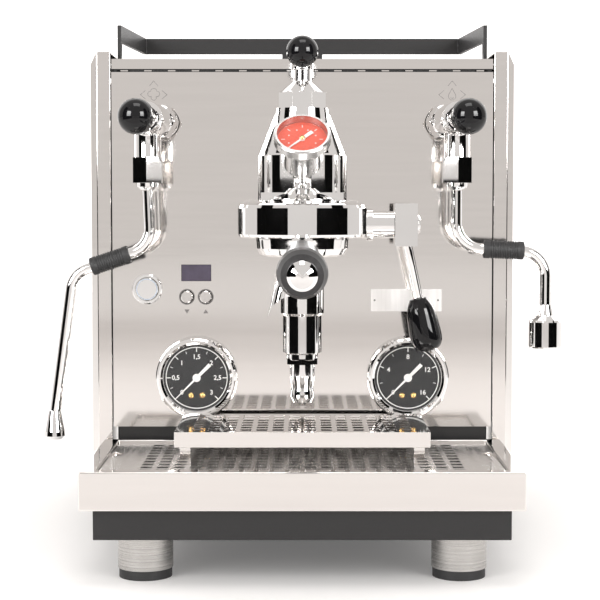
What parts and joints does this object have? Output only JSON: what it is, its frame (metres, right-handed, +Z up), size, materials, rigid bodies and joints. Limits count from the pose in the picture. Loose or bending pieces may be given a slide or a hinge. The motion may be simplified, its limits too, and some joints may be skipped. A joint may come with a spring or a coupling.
{
  "type": "espresso machine",
  "caption": "Polished-steel espresso machine with a lever-operated group head, portafilter, two swivelling wands, round gauges, cup rail and a sliding drip tray.",
  "frame": {"origin": "centre of the bounding box's footprint, at the height of the counter the feet stand on", "axes": "+Z up, -Y towards the user, +X to the user's right"},
  "size_m": [0.4, 0.59, 0.417],
  "materials": {
    "polished_steel": "polished",
    "perforated_steel": "satin",
    "brushed_steel": "brushed",
    "black_paint": "satin",
    "boiler_steel": "satin",
    "motor_paint": "satin",
    "tank_plastic": "translucent",
    "black_plastic": "satin",
    "screw_steel": "satin",
    "chrome": "mirror",
    "basket_steel": "satin",
    "gauge_glass": "clear",
    "pointer_white": "satin",
    "display_glass": "gloss",
    "button_steel": "polished",
    "gloss_black": "gloss",
    "grip_rubber": "matt"
  },
  "bodies": {
    "root": {"chassis": "black_paint", "side_panel_left": "polished_steel", "side_panel_right": "polished_steel", "front_panel": "polished_steel", "rear_panel": "polished_steel", "top_tray": "polished_steel", "cup_rail": "black_paint", "brew_boiler": "boiler_steel", "steam_boiler": "boiler_steel", "rotary_pump": "motor_paint", "water_tank": "tank_plastic", "power_inlet": "black_plastic", "panel_screws": "screw_steel", "group_body": "chrome", "group_chamber": "chrome", "group_cap": "chrome", "cam_housing": "chrome", "thermometer_case": "brushed_steel", "thermometer_glass": "gauge_glass", "boiler_gauge_case": "chrome", "boiler_gauge_glass": "gauge_glass", "pump_gauge_case": "chrome", "pump_gauge_glass": "gauge_glass", "power_switch_bezel": "chrome", "display_window": "display_glass", "steam_valve_body": "chrome", "water_valve_body": "chrome", "foot_sleeves": "brushed_steel", "foot_pads": "grip_rubber"},
    "lid": {"tank_lid": "polished_steel"},
    "flow_knob": {"flow_arm": "chrome", "flow_ball": "gloss_black"},
    "thermometer_needle": {"thermometer_pointer": "pointer_white"},
    "boiler_needle": {"boiler_gauge_pointer": "pointer_white"},
    "pump_needle": {"pump_gauge_pointer": "pointer_white"},
    "power_key": {"power_button": "chrome"},
    "down_key": {"button_down": "button_steel"},
    "up_key": {"button_up": "button_steel"},
    "steam_swivel": {"steam_collar": "chrome"},
    "steam_stick": {"steam_lever": "chrome", "steam_ball": "gloss_black"},
    "water_swivel": {"water_collar": "chrome"},
    "water_stick": {"water_lever": "chrome", "water_ball": "gloss_black"},
    "steam_wand": {"steam_pipe": "chrome", "steam_grip": "grip_rubber", "steam_tip": "chrome"},
    "water_wand": {"water_pipe": "chrome", "water_grip": "grip_rubber", "water_tip": "chrome"},
    "brew_lever": {"brew_lever": "chrome", "brew_lever_handle": "gloss_black"},
    "portafilter": {"portafilter_head": "chrome", "portafilter_basket": "basket_steel", "portafilter_spout": "chrome", "portafilter_handle": "black_plastic", "portafilter_end_cap": "chrome"},
    "tray": {"drip_tray": "polished_steel", "drip_grid": "perforated_steel", "cup_riser": "polished_steel"}
  },
  "joints": [
    {"name": "lid_lift", "type": "slide", "parent": "root", "child": "lid", "axis": [0, 0, 1], "range_m": [0, 0.12]},
    {"name": "flow_turn", "type": "hinge", "parent": "root", "child": "flow_knob", "pos_m": [0, -0.06, 0.38], "axis": [0, 0, 1], "range_deg": [-110, 110]},
    {"name": "thermometer_sweep", "type": "hinge", "parent": "root", "child": "thermometer_needle", "pos_m": [0, -0.137, 0.3234], "axis": [0, -0.7071, 0.7071], "range_deg": [-270, 0], "stiffness_Nm_per_rad": 0.0005},
    {"name": "boiler_gauge_sweep", "type": "hinge", "parent": "root", "child": "boiler_needle", "pos_m": [-0.0848, -0.028, 0.134], "axis": [0, -1, 0], "range_deg": [-270, 0], "stiffness_Nm_per_rad": 0.0005},
    {"name": "pump_gauge_sweep", "type": "hinge", "parent": "root", "child": "pump_needle", "pos_m": [0.0848, -0.028, 0.134], "axis": [0, -1, 0], "range_deg": [-270, 0], "stiffness_Nm_per_rad": 0.0005},
    {"name": "power_press", "type": "slide", "parent": "root", "child": "power_key", "axis": [0, 1, 0], "range_m": [0, 0.002], "stiffness_N_per_m": 400},
    {"name": "down_press", "type": "slide", "parent": "root", "child": "down_key", "axis": [0, 1, 0], "range_m": [0, 0.001], "stiffness_N_per_m": 300},
    {"name": "up_press", "type": "slide", "parent": "root", "child": "up_key", "axis": [0, 1, 0], "range_m": [0, 0.001], "stiffness_N_per_m": 300},
    {"name": "steam_swing", "type": "hinge", "parent": "root", "child": "steam_swivel", "pos_m": [-0.12005, -0.09735, 0.338], "axis": [0, 0, 1], "range_deg": [-15, 15]},
    {"name": "steam_lift", "type": "hinge", "parent": "steam_swivel", "child": "steam_stick", "pos_m": [-0.12005, -0.09735, 0.338], "axis": [-0.9917, 0.1288, 0], "range_deg": [0, 15]},
    {"name": "water_swing", "type": "hinge", "parent": "root", "child": "water_swivel", "pos_m": [0.12005, -0.09735, 0.338], "axis": [0, 0, 1], "range_deg": [-15, 15]},
    {"name": "water_lift", "type": "hinge", "parent": "water_swivel", "child": "water_stick", "pos_m": [0.12005, -0.09735, 0.338], "axis": [-0.9917, -0.1288, 0], "range_deg": [0, 15]},
    {"name": "steam_wand_swing", "type": "hinge", "parent": "root", "child": "steam_wand", "pos_m": [-0.1185, -0.0733, 0.2837], "axis": [0, 0, 1], "range_deg": [0, 50]},
    {"name": "water_wand_swing", "type": "hinge", "parent": "root", "child": "water_wand", "pos_m": [0.1185, -0.0733, 0.2837], "axis": [0, 0, 1], "range_deg": [-50, 0]},
    {"name": "brew_lever_lift", "type": "hinge", "parent": "root", "child": "brew_lever", "pos_m": [0.08, -0.06, 0.2573], "axis": [1, 0, 0], "range_deg": [-95, 0]},
    {"name": "portafilter_turn", "type": "hinge", "parent": "root", "child": "portafilter", "pos_m": [0, -0.12, 0.248], "axis": [0, 0, 1], "range_deg": [-45, 0]},
    {"name": "tray_pull", "type": "slide", "parent": "root", "child": "tray", "axis": [0, -1, 0], "range_m": [0, 0.2]}
  ]
}
